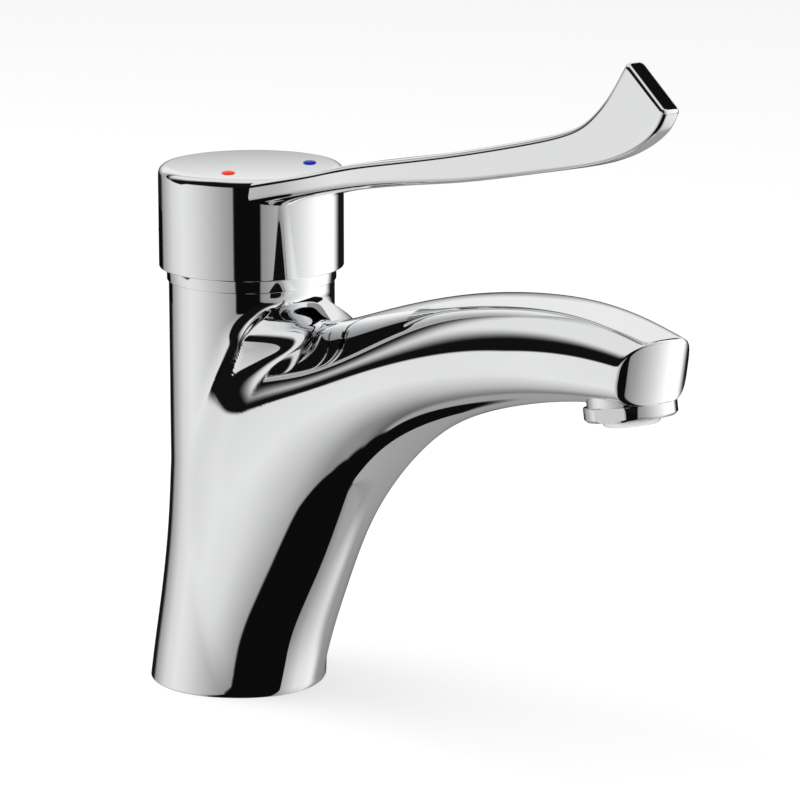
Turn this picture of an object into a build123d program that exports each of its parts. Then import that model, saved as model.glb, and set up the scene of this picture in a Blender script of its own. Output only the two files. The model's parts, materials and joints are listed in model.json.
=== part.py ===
from build123d import *
import os
from math import cos, degrees, pi, radians, sin, sqrt

# Elbow lever tap, in millimetres. +X runs out along the spout and the lever, +Z is up.
# The origin is the middle of the foot, on the deck that the tap stands on.

# Driving sizes
foot_radius = 23.0
axis_setback = 7.3
neck_radius = 21.2
neck_top = 107.0
spout_reach = 140.0
spout_height = 121.6
cap_radius = 23.6
cap_rim = 110.4
cap_top = 136.4
lever_reach = 159.4
lever_rise = 42.6
lever_thickness = 5.2
cartridge_radius = 17.5
lift_angle = 25.0
turn_angle = 50.0

# Clearances and overruns that every piece shares
seat_play = 0.05
turn_play = 0.08
pin_play = 0.05
slip_play = 0.3
cut_overrun = 1.0

# Casting
body_wall = 3.0
chamber_floor = 77.0
chamber_play = 0.15
inlet_radius = 4.55
inlet_depth = 14.0
inlet_forward = 5.0
inlet_aside = 8.5
stud_radius = 3.4
stud_depth = 18.0
stud_back = 11.0
saddle_fillet = 5.0
nose_radius = 25.0
nose_overhang = 16.8
nose_lean = 14.0
duct_height = 6.0
duct_width = 9.0

# Foot seal
foot_seal_radius = 19.8
foot_seal_width = 2.6
foot_seal_depth = 2.0

# Cartridge
pivot_below_rim = 5.2
barrel_radius = 16.0
barrel_wall = 0.7
shoulder_height = 25.0
collar_radius = 13.3
collar_height = 6.0
drum_radius = 11.5
drum_rise = 2.4
drum_flange_radius = 14.0
drum_flange_height = 2.6
base_height = 5.7
base_step = 2.0
port_radius = 3.2
port_forward = 5.5
port_aside = 6.0
outlet_back = 6.0
seal_width = 1.5
seal_height = 1.6
disc_height = 4.0
fixed_disc_radius = 14.5
moving_disc_radius = 12.5
carrier_block_width = 7.0
carrier_block_length = 11.0
peg_radius = 1.4
peg_length = 3.0
peg_aside = 8.0
peg_back = 8.0
lower_arm = 10.0
ball_radius = 2.0
arm_radius = 1.5
pin_radius = 1.5
hub_radius = 4.2
stem_width = 7.0
stem_cover = 3.4
stop_height = 1.7
stop_tab_angle = 24.0

# Nut and its cover ring
nut_radius = 19.2
nut_flats = 33.0
nut_hex_height = 2.4
nut_collar_height = 3.0
ring_radius = 21.65
ring_bore = 19.8
ring_seal_thickness = 1.4
dome_radius = 22.2
dome_wall = 1.5
dome_mouth = 14.8

# Handle
handle_play = 0.6
cap_edge = 2.0
rim_bevel_in = 1.1
rim_bevel_height = 2.6
arm_edge = 1.3
sleeve_radius = 6.0
screw_radius = 2.5
screw_length = 8.0
screw_socket = 1.25
screw_socket_depth = 3.0
cover_length = 3.0
marker_radius = 1.7
marker_depth = 1.6
marker_proud = 0.35
marker_circle = 15.0
marker_angle = 58.0

# Aerator
aerator_setback = 10.2
aerator_lean = 10.0
aerator_radius = 10.8
aerator_drop = 3.4
aerator_flats = 19.6
aerator_edge = 0.7
thread_radius = 10.0
thread_length = 7.0
aerator_bore = 8.6
outlet_radius = 6.8
outlet_drop = 1.6
screen_height = 0.8
screen_hole = 0.55
washer_height = 1.4

# Places that follow from the sizes above
pivot_height = cap_rim - pivot_below_rim
stem_top = cap_top - stem_cover
cavity_radius = dome_radius + handle_play
chamber_radius = cartridge_radius + chamber_play
base_bottom = chamber_floor + slip_play
disc_bottom = base_bottom + base_height
film_height = disc_bottom + disc_height
moving_bottom = film_height + seat_play
carrier_bottom = moving_bottom + disc_height
shoulder_top = chamber_floor + shoulder_height
collar_top = shoulder_top + collar_height
drum_top = collar_top + drum_rise
ball_height = pivot_height - lower_arm
slide_half = lower_arm * sin(radians(lift_angle / 2))
guide_bottom = ball_height + ball_radius
carrier_top = guide_bottom - slip_play
sleeve_low = pivot_height + cavity_radius + slip_play
screw_height = (sleeve_low + stem_top) / 2

# The sweep from the foot to the nose, at twelve stations: its front and lower line, and its
# crest. X is a share of neck_radius from the cartridge's axis, Z is a share of neck_top.
arch_shares = [
    (0.779, 0.000), (0.991, 0.114), (1.288, 0.227), (1.585, 0.330), (1.955, 0.449),
    (2.009, 0.574), (1.939, 0.691), (1.505, 0.751), (1.377, 0.771), (1.278, 0.795),
    (1.396, 0.811), (2.420, 0.825),
]
crest_shares = [
    (-1.057, 0.000), (-0.991, 0.170), (-0.792, 0.341), (-0.528, 0.511), (-0.132, 0.682),
    (0.146, 0.830), (0.354, 0.924), (0.250, 0.967), (0.453, 0.993), (0.651, 1.006),
    (1.066, 0.995), (2.519, 0.937),
]
# What each station adds to both: shares of the spout's length beyond the neck's radius and of
# its rise above the neck's top
along_shares = [0, 0, 0, 0, 0, 0.08, 0.22, 0.45, 0.65, 0.85, 1, 1]
rise_shares = [0, 0, 0, 0, 0, 0, 0.1, 0.35, 0.7, 0.9, 1, 1]
# Its half width, as a share of neck_radius, and how square its section is
width_shares = [0.87, 0.92, 0.94, 0.94, 0.94, 0.93, 0.91, 0.88, 0.84, 0.77, 0.69, 0.61]
square_shares = [2.0, 2.0, 2.0, 2.0, 2.05, 2.1, 2.15, 2.2, 2.25, 2.3, 2.3, 2.3]
# The column behind the spout: shares of neck_top, of axis_setback and of the foot's spread
# beyond the neck
column_shares = [
    (0.000, 1.000, 1.000), (0.100, 0.800, 0.720), (0.240, 0.450, 0.400),
    (0.400, 0.150, 0.130), (0.560, 0.000, 0.000),
]
# The waterway, in the middle of the sweep: the station, a share of duct_height and a share of
# duct_width
duct_shares = [
    (5, 2.0, 1.6), (6, 2.0, 1.7), (7, 1.9, 1.7), (8, 1.6, 1.5), (9, 1.3, 1.3), (10, 1.0, 0.9),
]
# The lever's underside and its top, from the root to the upturned end: X is a share of
# lever_reach, Z is a share of lever_rise above the cap's top.
belly_shares = [
    (0.070, -0.230), (0.128, -0.180), (0.178, -0.115), (0.240, -0.050), (0.303, 0.005),
    (0.420, 0.090), (0.556, 0.176), (0.717, 0.307), (0.842, 0.411), (0.923, 0.516),
    (0.982, 0.653), (1.001, 0.775),
]
ridge_shares = [
    (0.065, -0.030), (0.122, -0.004), (0.172, 0.030), (0.227, 0.085), (0.290, 0.150),
    (0.408, 0.240), (0.545, 0.347), (0.700, 0.485), (0.800, 0.590), (0.845, 0.690),
    (0.882, 0.818), (0.919, 1.010),
]
# Its width as a share of lever_thickness
arm_shares = [5.2, 5.0, 3.5, 2.3, 1.75, 1.4, 1.2, 1.08, 1.04, 1.0, 1.0, 1.0]


def post(radius, bottom, top, x=0, y=0):
    """A round solid on a vertical axis, between two heights."""
    upright = Cylinder(radius, top - bottom, align=(Align.CENTER, Align.CENTER, Align.MIN))
    return Pos(x, y, bottom) * upright


def tube(outer, inner, bottom, top, x=0, y=0):
    """A hollow round solid, open at both ends."""
    return post(outer, bottom, top, x, y) - post(inner, bottom - cut_overrun, top + cut_overrun, x, y)


def block(x_low, x_high, y_half, z_low, z_high):
    """A box between two X places and two heights, even about the middle plane."""
    box = Box(x_high - x_low, 2 * y_half, z_high - z_low)
    return Pos((x_low + x_high) / 2, 0, (z_low + z_high) / 2) * box


def rod(radius, start, end):
    """A round solid between two points."""
    line = Vector(*end) - Vector(*start)
    return extrude(Plane(origin=start, z_dir=line) * Circle(radius), line.length)


def rounded_section(plane, half_height, half_width, squareness):
    """A closed curve between an ellipse (2) and a rounded box (3 and more)."""
    points = []
    count = 24
    for step in range(count):
        angle = 2 * pi * step / count
        along = abs(cos(angle)) ** (2 / squareness) * half_height * (1 if cos(angle) >= 0 else -1)
        across = abs(sin(angle)) ** (2 / squareness) * half_width * (1 if sin(angle) >= 0 else -1)
        points.append((along, across))
    return plane * make_face(Spline(*points, periodic=True))


def section_plane(low, high):
    """A plane across the middle plane, with its X from a lower point to an upper one."""
    line = high - low
    return Plane(origin=(low + high) / 2, x_dir=line, z_dir=Vector(0, 1, 0).cross(line))


def station(number):
    """The lower and the upper point of the sweep at one station."""
    ends = []
    for near, height in (arch_shares[number], crest_shares[number]):
        x = near * neck_radius + along_shares[number] * (spout_reach - neck_radius)
        z = height * neck_top + rise_shares[number] * (spout_height - neck_top)
        ends.append(Vector(x, 0, z))
    return ends


def spout_form():
    """The form that sweeps from the foot up the front and out to the nose."""
    sections = []
    for number, (width, squareness) in enumerate(zip(width_shares, square_shares)):
        low, high = station(number)
        half_height = (high - low).length / 2
        half_width = width * neck_radius
        plane = section_plane(low, high)
        sections.append(rounded_section(plane, half_height, half_width, squareness))
    return loft(sections)


def column_form():
    """The round column at the back, which flares back into the foot."""
    sections = []
    for height, setback, spread in column_shares:
        plane = Plane.XY.offset(height * neck_top)
        radius = neck_radius + spread * (foot_radius - neck_radius)
        sections.append(plane * Pos(-setback * axis_setback, 0) * Circle(radius))
    neck_start = column_shares[-1][0] * neck_top
    return loft(sections) + post(neck_radius, neck_start, neck_top)


def nose_cutter():
    """What stands beyond the nose's front, which bows forward and leans out at its top."""
    front = spout_reach + nose_overhang
    depth = nose_radius * 2
    beyond = block(front - nose_radius, front + depth, depth, 0, spout_height * 2)
    bow = Cylinder(nose_radius, spout_height * 4)
    place = Pos(front - nose_radius, 0, spout_height) * Rot(0, nose_lean, 0)
    return beyond - place * bow


def waterway():
    """The passage from the cartridge chamber's front wall to the aerator's seat."""
    start = Vector(chamber_radius - body_wall, 0, disc_bottom + duct_height)
    sections = [duct_section(start, duct_height, duct_width)]
    for number, height, width in duct_shares:
        low, high = station(number)
        sections.append(duct_section((low + high) / 2, height * duct_height, width * duct_width))
    return loft(sections)


def duct_section(middle, half_height, half_width):
    plane = Plane(origin=middle, x_dir=(0, 1, 0), z_dir=(1, 0, 0))
    return plane * Ellipse(half_width, half_height)


def aerator_place():
    """Where the aerator's flange meets the spout: its Z points up into the spout."""
    behind, ahead = station(-3)[0], station(-2)[0]
    reach = spout_reach + nose_overhang - aerator_setback
    slope = (ahead.Z - behind.Z) / (ahead.X - behind.X)
    height = behind.Z + slope * (reach - behind.X) - slip_play
    return Pos(reach, 0, height) * Rot(0, -aerator_lean, 0)


def cartridge_space():
    """The chamber, the nut's thread above it and the two peg holes in its floor."""
    thread_start = shoulder_top - nut_collar_height - seat_play
    space = post(chamber_radius, chamber_floor, neck_top + cut_overrun)
    space += post(nut_radius + turn_play, thread_start, neck_top + cut_overrun)
    for side in (-1, 1):
        hole = post(peg_radius + seat_play, base_bottom - peg_length - slip_play, chamber_floor + cut_overrun)
        space += Pos(-peg_back, side * peg_aside, 0) * hole
    return space


def inlet_passages():
    """The two threaded inlets in the foot and the passages from them up to the chamber."""
    passages = []
    for side in (-1, 1):
        entry = (inlet_forward - axis_setback, side * inlet_aside)
        passages.append(post(inlet_radius, -cut_overrun, inlet_depth, *entry))
        start = (*entry, inlet_depth - port_radius)
        end = (port_forward, side * port_aside, chamber_floor + cut_overrun)
        passages.append(rod(port_radius, start, end))
    return passages


def outer_form():
    """The column and the sweep, with the saddle between neck and spout rounded."""
    form = column_form() + spout_form()
    neck_start = column_shares[-1][0] * neck_top
    saddle = []
    for edge in form.edges():
        low, high = edge.bounding_box().min, edge.bounding_box().max
        on_neck = low.Z > neck_start - seat_play and high.X < neck_radius + seat_play
        if on_neck and low.Z + seat_play < high.Z < neck_top - seat_play:
            saddle.append(edge)
    return fillet(saddle, saddle_fillet) - nose_cutter()


def tap_body():
    """The cast body: the outer form, less its waterways, its chamber and its threads."""
    body = outer_form()
    body -= block(-spout_reach, spout_reach * 2, spout_reach, -spout_height, 0)
    body -= waterway()
    body -= cartridge_space()
    for passage in inlet_passages():
        body -= passage
    body -= post(stud_radius, -cut_overrun, stud_depth, -stud_back - axis_setback)
    groove_outer = foot_seal_radius + foot_seal_width / 2 + seat_play
    groove_inner = foot_seal_radius - foot_seal_width / 2 - seat_play
    body -= tube(groove_outer, groove_inner, -cut_overrun, foot_seal_depth, -axis_setback)
    seat = post(thread_radius + seat_play, -body_wall, thread_length + washer_height + seat_play)
    seat += post(aerator_radius + slip_play, -body_wall, 0)
    seat += post(aerator_bore, 0, thread_length + washer_height + body_wall)
    body -= aerator_place() * seat
    return body


def base_seal():
    outer = foot_seal_radius + foot_seal_width / 2
    inner = foot_seal_radius - foot_seal_width / 2
    return tube(outer, inner, 0, foot_seal_depth, -axis_setback)


def neck_ring():
    """The chromed ring between the neck and the cap, with its dome inside the cap."""
    straight_top = pivot_height + sqrt(dome_radius ** 2 - ring_radius ** 2)
    mouth_height = pivot_height + sqrt(dome_radius ** 2 - dome_mouth ** 2)
    ball = Pos(0, 0, pivot_height) * Sphere(dome_radius)
    hollow = Pos(0, 0, pivot_height) * Sphere(dome_radius - dome_wall)
    dome = ball & post(dome_radius, straight_top, mouth_height)
    ring = post(ring_radius, neck_top, straight_top) + dome
    ring -= post(ring_bore, neck_top - cut_overrun, straight_top)
    ring -= hollow & post(dome_radius, neck_top, mouth_height + cut_overrun)
    return ring - post(dome_mouth, straight_top, mouth_height + cut_overrun)


def cartridge_nut():
    """The brass nut that holds the cartridge down, with its seal's groove and its flats."""
    collar_end = neck_top + nut_collar_height
    hex_end = collar_end + nut_hex_height
    nut = post(nut_radius, shoulder_top - nut_collar_height, collar_end)
    hexagon = RegularPolygon(nut_flats / 2, 6, major_radius=False)
    nut += Pos(0, 0, collar_end) * extrude(hexagon, nut_hex_height)
    nut -= post(chamber_radius, shoulder_top - nut_collar_height - cut_overrun, shoulder_top)
    nut -= post(collar_radius + slip_play, shoulder_top - cut_overrun, hex_end + cut_overrun)
    groove_low = neck_top + (nut_collar_height - ring_seal_thickness) / 2 - seat_play
    groove_high = groove_low + ring_seal_thickness + 2 * seat_play
    return nut - tube(ring_bore, ring_bore - ring_seal_thickness - seat_play, groove_low, groove_high)


def neck_ring_seal():
    section = ring_seal_thickness / 2
    middle = neck_top + nut_collar_height / 2
    return Pos(0, 0, middle) * Torus(ring_bore - section - seat_play, section)


def cartridge_base():
    """The plastic base with its two inlets, its open outlet and its two pegs."""
    step_height = disc_bottom - base_step
    outlet_low = disc_bottom - base_step * 2
    base = post(barrel_radius, base_bottom, step_height)
    base += post(barrel_radius - barrel_wall - seat_play, step_height, disc_bottom)
    for side in (-1, 1):
        inlet = (port_forward, side * port_aside)
        base -= post(port_radius, base_bottom - cut_overrun, disc_bottom + cut_overrun, *inlet)
        base += post(peg_radius, base_bottom - peg_length, base_bottom, -peg_back, side * peg_aside)
    base -= post(port_radius, outlet_low, disc_bottom + cut_overrun, -outlet_back)
    base -= block(-barrel_radius - cut_overrun, -outlet_back, port_radius, outlet_low, step_height)
    outer, inner = port_radius + seal_width + seat_play, port_radius - cut_overrun
    for x, y in seal_places(with_outlet=True):
        base -= tube(outer, inner, disc_bottom - seal_height, disc_bottom + cut_overrun, x, y)
    for x, y in seal_places(with_outlet=False):
        base -= tube(outer, inner, base_bottom - cut_overrun, chamber_floor + seal_height, x, y)
    return base


def seal_places(with_outlet):
    places = [(port_forward, side * port_aside) for side in (-1, 1)]
    if with_outlet:
        places.append((-outlet_back, 0))
    return places


def port_seals():
    """The two rubber seals between the cartridge and the chamber's floor."""
    outer = port_radius + seal_width
    return [tube(outer, port_radius, chamber_floor, chamber_floor + seal_height, x, y)
            for x, y in seal_places(with_outlet=False)]


def disc_seals():
    """The three rubber seals between the cartridge's base and its fixed disc."""
    outer = port_radius + seal_width
    return [tube(outer, port_radius, disc_bottom - seal_height, disc_bottom, x, y)
            for x, y in seal_places(with_outlet=True)]


def fixed_disc():
    disc = post(fixed_disc_radius, disc_bottom, film_height)
    for x, y in seal_places(with_outlet=True):
        disc -= post(port_radius, disc_bottom - cut_overrun, film_height + cut_overrun, x, y)
    return disc


def moving_disc():
    """The disc that slides over the ports, with the mixing hollow in its underside."""
    disc = post(moving_disc_radius, moving_bottom, carrier_bottom, -slide_half)
    hollow = post(port_radius + port_aside, moving_bottom - cut_overrun, moving_bottom + disc_height / 2)
    hollow &= block(-moving_disc_radius, port_forward - port_radius - slide_half, port_aside,
                    moving_bottom - cut_overrun, carrier_bottom)
    return disc - Pos(-slide_half, 0, 0) * hollow


def disc_carrier():
    """The plastic slide on the moving disc, with a pocket for the spindle's ball."""
    carrier = post(moving_disc_radius, carrier_bottom, carrier_top)
    half = carrier_block_length / 2
    carrier += block(-half, half, carrier_block_width / 2, carrier_bottom, guide_bottom + slip_play)
    pocket_low = ball_height - ball_radius - slip_play
    pocket_half = ball_radius + pin_play
    over = guide_bottom + cut_overrun
    carrier -= block(-pocket_half, pocket_half, ball_radius + slip_play, pocket_low, over)
    carrier -= block(-half - cut_overrun, half + cut_overrun, arm_radius + slip_play, ball_height, over)
    return Pos(-slide_half, 0, 0) * carrier


def cartridge_housing():
    """The cartridge's plastic barrel, with the wider seat and the collar at its top."""
    low = disc_bottom - base_step
    seat_low = shoulder_top - nut_collar_height * 2
    housing = post(barrel_radius, low, seat_low)
    housing += post(cartridge_radius, seat_low, shoulder_top)
    housing += post(collar_radius, shoulder_top, collar_top)
    inner_top = guide_bottom + drum_flange_height + seat_play
    housing -= post(barrel_radius - barrel_wall, low - cut_overrun, inner_top)
    housing -= post(drum_radius + turn_play, inner_top - cut_overrun, collar_top + cut_overrun)
    window = block(-barrel_radius - cut_overrun, 0, port_radius, low - cut_overrun, disc_bottom)
    return housing - window


def temperature_stop():
    """The ring on the collar whose gap sets how far the spindle guide turns."""
    play = degrees(slip_play / drum_radius)
    gap = 2 * turn_angle + stop_tab_angle + 2 * play
    ring = tube(collar_radius, drum_radius + slip_play, collar_top, collar_top + stop_height)
    return ring - sector(collar_radius + cut_overrun, gap, collar_top, collar_top + stop_height)


def sector(radius, angle, bottom, top):
    """A wedge of a disc about the -X direction, with its point on the axis."""
    half = radians(angle / 2)
    back, aside = -radius * cos(half), radius * sin(half)
    arc = ThreePointArc((back, -aside), (-radius, 0), (back, aside))
    outline = arc + Line(arc @ 1, (0, 0)) + Line((0, 0), arc @ 0)
    low = bottom - cut_overrun
    return Pos(0, 0, low) * extrude(make_face(outline), top - low + cut_overrun)


def spindle_guide():
    """The drum that turns in the collar and carries the pivot pin."""
    flange_top = guide_bottom + drum_flange_height
    drum = post(drum_flange_radius, guide_bottom, flange_top) + post(drum_radius, guide_bottom, drum_top)
    tab_low, tab_high = collar_top + slip_play, drum_top - slip_play
    tab_ring = tube(collar_radius, drum_radius - cut_overrun, tab_low, tab_high)
    drum += tab_ring & sector(collar_radius + cut_overrun, stop_tab_angle, tab_low, tab_high)
    slot_half = carrier_block_width / 2 + slip_play
    swing = slide_half * 2 + carrier_block_length / 2
    drum -= block(-swing, swing, slot_half, guide_bottom - cut_overrun, drum_top + cut_overrun)
    return drum - pin_form(pin_radius + seat_play, drum_radius)


def pin_form(radius, half_length):
    return rod(radius, (0, -half_length, pivot_height), (0, half_length, pivot_height))


def pivot_pin():
    half_slot = carrier_block_width / 2 + slip_play
    return pin_form(pin_radius, (drum_radius + half_slot) / 2)


def spindle():
    """The steel spindle: a square stem above the pivot, a slanted arm and a ball below it."""
    half = stem_width / 2
    stem = block(-half, half, half, pivot_height, stem_top)
    hub_half = carrier_block_width / 2
    hub = rod(hub_radius, (0, -hub_half, pivot_height), (0, hub_half, pivot_height))
    drop = lower_arm * cos(radians(lift_angle / 2))
    ball_place = (-slide_half, 0, pivot_height - drop)
    arm = rod(arm_radius, (0, 0, pivot_height), ball_place)
    lever = stem + hub + arm + Pos(*ball_place) * Sphere(ball_radius)
    return lever - pin_form(pin_radius + pin_play, drum_radius)


def screw_line(radius, start, end):
    """A round solid on the grub screw's axis, between two X places."""
    return rod(radius, (start, 0, screw_height), (end, 0, screw_height))


def handle_insert():
    """The plastic sleeve between the square stem and the round socket in the handle."""
    half = stem_width / 2 + seat_play
    sleeve = post(sleeve_radius, sleeve_low, stem_top + seat_play)
    sleeve -= block(-half, half, half, sleeve_low - cut_overrun, stem_top + cut_overrun)
    return sleeve - screw_line(screw_radius + seat_play, -cap_radius, 0)


def grub_screw():
    """The headless screw that holds the handle on the stem, with its hexagon socket."""
    start = -stem_width / 2 - seat_play
    end = start - screw_length
    plane = Plane(origin=(end, 0, screw_height), z_dir=(1, 0, 0))
    socket = extrude(plane * RegularPolygon(screw_socket, 6, major_radius=False), screw_socket_depth)
    return screw_line(screw_radius, start, end) - socket


def screw_cover():
    """The plug that closes the grub screw's hole at the back of the cap."""
    hole = screw_radius + seat_play * 2
    plug = screw_line(hole, -cap_radius + cover_length, -cap_radius - cut_overrun)
    return plug & post(cap_radius, cap_rim, cap_top)


def lever_arm():
    """The arm, broad where it grows out of the cap and a thin upright blade at its end."""
    sections = []
    for belly, ridge, width in zip(belly_shares, ridge_shares, arm_shares):
        low = Vector(belly[0] * lever_reach, 0, cap_top + belly[1] * lever_rise)
        high = Vector(ridge[0] * lever_reach, 0, cap_top + ridge[1] * lever_rise)
        across = RectangleRounded((high - low).length, width * lever_thickness, arm_edge)
        sections.append(section_plane(low, high) * across)
    return loft(sections)


def lever_handle():
    """The cap and the lever, one casting over a ball-shaped hollow."""
    cap = post(cap_radius, cap_rim, cap_top)
    cap = fillet(cap.edges().group_by(Axis.Z)[-1], cap_edge)
    cap = chamfer(cap.edges().group_by(Axis.Z)[0], rim_bevel_height, rim_bevel_in)
    handle = cap + lever_arm()
    handle -= Pos(0, 0, pivot_height) * Sphere(cavity_radius)
    handle -= post(cavity_radius, pivot_height - cavity_radius, cap_rim)
    handle -= post(sleeve_radius + seat_play, pivot_height, stem_top + seat_play * 2)
    handle -= screw_line(screw_radius + seat_play * 2, -cap_radius - cut_overrun, 0)
    for side in (-1, 1):
        handle -= marker_post(side, marker_radius + seat_play, cap_top + cut_overrun)
    return handle


def marker_post(side, radius, top):
    """A round solid at one marker's place, from its hole's floor up to a height."""
    turn = radians(marker_angle)
    x, y = marker_circle * cos(turn), side * marker_circle * sin(turn)
    return post(radius, cap_top - marker_depth, top, x, y)


def marker(side):
    """A coloured stud with a slightly domed head."""
    stud = marker_post(side, marker_radius, cap_top + marker_proud)
    return fillet(stud.edges().group_by(Axis.Z)[-1], marker_proud)


def aerator_housing():
    """The threaded metal ring with two flats for a spanner."""
    housing = post(aerator_radius, -aerator_drop, 0)
    housing = chamfer(housing.edges().group_by(Axis.Z)[0], aerator_edge)
    flats = Pos(0, 0, -aerator_drop / 2) * Box(aerator_radius * 3, aerator_flats, aerator_drop + cut_overrun)
    housing &= flats
    housing += post(thread_radius, 0, thread_length)
    housing -= post(aerator_bore, slip_play, thread_length + cut_overrun)
    housing -= post(outlet_radius + slip_play, -aerator_drop - cut_overrun, cut_overrun)
    return aerator_place() * housing


def aerator_insert():
    """The plastic core that mixes in air, with its outlet grid at the bottom."""
    top = thread_length - screen_height
    core = post(aerator_bore - seat_play, slip_play, top)
    core += post(outlet_radius, -aerator_drop - outlet_drop, slip_play)
    core = fillet(core.edges().group_by(Axis.Z)[0], outlet_drop)
    core -= post(outlet_radius - body_wall / 2, slip_play + cut_overrun, top + cut_overrun)
    pitch = outlet_radius / 3
    holes = [Pos(pitch * column, pitch * row, 0) * Cylinder(pitch / 3, spout_height)
             for column in (-1, 0, 1) for row in (-1, 0, 1)]
    for hole in holes:
        core -= hole
    return aerator_place() * core


def aerator_screen():
    """The fine sieve on top of the insert."""
    low = thread_length - screen_height
    sieve = post(aerator_bore - seat_play, low, thread_length)
    for ring in (1, 2, 3):
        for step in range(6 * ring):
            angle = 2 * pi * step / (6 * ring)
            radius = ring * aerator_bore / 4
            sieve -= post(screen_hole, low - cut_overrun, thread_length + cut_overrun,
                          radius * cos(angle), radius * sin(angle))
    return aerator_place() * sieve


def aerator_washer():
    outer, inner = thread_radius - seat_play, aerator_bore - seat_play * 2
    return aerator_place() * tube(outer, inner, thread_length, thread_length + washer_height)


def save(node, pieces):
    """Write one node, moved from the cartridge's axis to the middle of the foot."""
    if not isinstance(pieces, list):
        pieces = [pieces]
    solids = [solid for piece in pieces for solid in piece.solids()]
    placed = [Pos(axis_setback, 0, 0) * solid for solid in solids]
    shape = placed[0] if len(placed) == 1 else Compound(children=placed)
    export_step(shape, f"parts/{node}.step")
    print(node, len(placed))


os.makedirs("parts", exist_ok=True)
save("tap_body", tap_body())
save("base_seal", base_seal())
save("neck_ring", neck_ring())
save("neck_ring_seal", neck_ring_seal())
save("cartridge_nut", cartridge_nut())
save("cartridge_housing", cartridge_housing())
save("cartridge_base", cartridge_base())
save("port_seals", port_seals())
save("disc_seals", disc_seals())
save("fixed_disc", fixed_disc())
save("temperature_stop", temperature_stop())
save("moving_disc", moving_disc())
save("disc_carrier", disc_carrier())
save("spindle_guide", spindle_guide())
save("pivot_pin", pivot_pin())
save("spindle", spindle())
save("handle_insert", handle_insert())
save("grub_screw", grub_screw())
save("screw_cover", screw_cover())
save("lever_handle", lever_handle())
save("hot_marker", marker(-1))
save("cold_marker", marker(1))
save("aerator_housing", aerator_housing())
save("aerator_insert", aerator_insert())
save("aerator_screen", aerator_screen())
save("aerator_washer", aerator_washer())
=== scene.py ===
import bpy
import json
import numpy as np
import bmesh
from math import cos, radians, sin, sqrt
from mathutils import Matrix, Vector


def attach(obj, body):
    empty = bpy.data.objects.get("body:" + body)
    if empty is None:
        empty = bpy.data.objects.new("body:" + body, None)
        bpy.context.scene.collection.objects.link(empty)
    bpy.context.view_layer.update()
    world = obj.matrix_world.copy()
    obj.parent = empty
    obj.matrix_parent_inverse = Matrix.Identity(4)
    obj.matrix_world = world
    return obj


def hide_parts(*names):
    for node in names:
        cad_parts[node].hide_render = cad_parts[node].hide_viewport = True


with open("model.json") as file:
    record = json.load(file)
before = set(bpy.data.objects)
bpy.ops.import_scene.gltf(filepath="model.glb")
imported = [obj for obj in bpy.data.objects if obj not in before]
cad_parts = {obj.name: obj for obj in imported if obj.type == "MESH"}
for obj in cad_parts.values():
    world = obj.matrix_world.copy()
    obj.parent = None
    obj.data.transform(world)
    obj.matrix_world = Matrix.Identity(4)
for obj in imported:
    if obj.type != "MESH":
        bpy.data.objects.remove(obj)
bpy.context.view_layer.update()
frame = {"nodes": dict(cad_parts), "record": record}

# lengths are in millimetres from the cartridge's axis, which stands this far ahead of the foot's middle
axisSetback = 7.3
perMetre = 1000
mergeGap = 0.0004      # points nearer than this are one point
leastEdge = 1e-8       # metres
print("frame loaded")


# tools that every piece uses

def smoothLine(stations, at):
    # a uniform cubic B-spline over a row of stations, read at 0 to 1: each control point is
    # P + (P - mean of its neighbours) / 3, so that the line comes back through its stations
    row = np.asarray(stations, float).reshape(len(stations), -1)
    row = np.vstack([2 * row[0] - row[1], row, 2 * row[-1] - row[-2]])
    pushed = row.copy()
    pushed[1:-1] += (row[1:-1] - (row[:-2] + row[2:]) / 2) / 3
    spans = len(stations) - 1
    along = np.clip(np.asarray(at, float), 0, 1) * spans
    span = np.minimum(along.astype(int), spans - 1)
    f = (along - span)[..., None]
    weights = ((1 - f) ** 3, 3 * f ** 3 - 6 * f ** 2 + 4, -3 * f ** 3 + 3 * f ** 2 + 3 * f + 1, f ** 3)
    line = sum(weight * pushed[span + step] for step, weight in enumerate(weights)) / 6
    return line[..., 0] if line.shape[-1] == 1 else line


def smoothStep(value, low, high):
    # 3 t^2 - 2 t^3 where t runs from 0 at low to 1 at high
    t = np.clip((value - low) / (high - low), 0, 1)
    return t * t * (3 - 2 * t)


def gridFaces(rows, columns, closed, flip=False):
    # quads between neighbouring rows and columns of a grid of points
    i, j = np.meshgrid(np.arange(rows - 1), np.arange(columns if closed else columns - 1), indexing="ij")
    after = (j + 1) % columns
    here, below = i * columns, (i + 1) * columns
    quads = np.stack([here + j, here + after, below + after, below + j], -1).reshape(-1, 4)
    return quads[:, ::-1] if flip else quads


def makePiece(name, patches, sharp=35):
    # one mesh object from patches of (points, faces): millimetres on the cartridge's axis become
    # metres from the foot's middle, doubles are merged and edges past the sharp angle stay crisp
    points, faces, start = [], [], 0
    for patchPoints, patchFaces in patches:
        flat = np.asarray(patchPoints, float).reshape(-1, 3)
        points.append(flat)
        faces.extend((np.asarray(block) + start).tolist() for block in patchFaces)
        start += len(flat)
    points = (np.vstack(points) + [axisSetback, 0, 0]) / perMetre
    mesh = bpy.data.meshes.new(name)
    mesh.from_pydata(points.tolist(), [], [face for block in faces for face in block])
    piece = bpy.data.objects.new(name, mesh)
    bpy.context.collection.objects.link(piece)
    finishMesh(mesh, sharp)
    return piece


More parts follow.
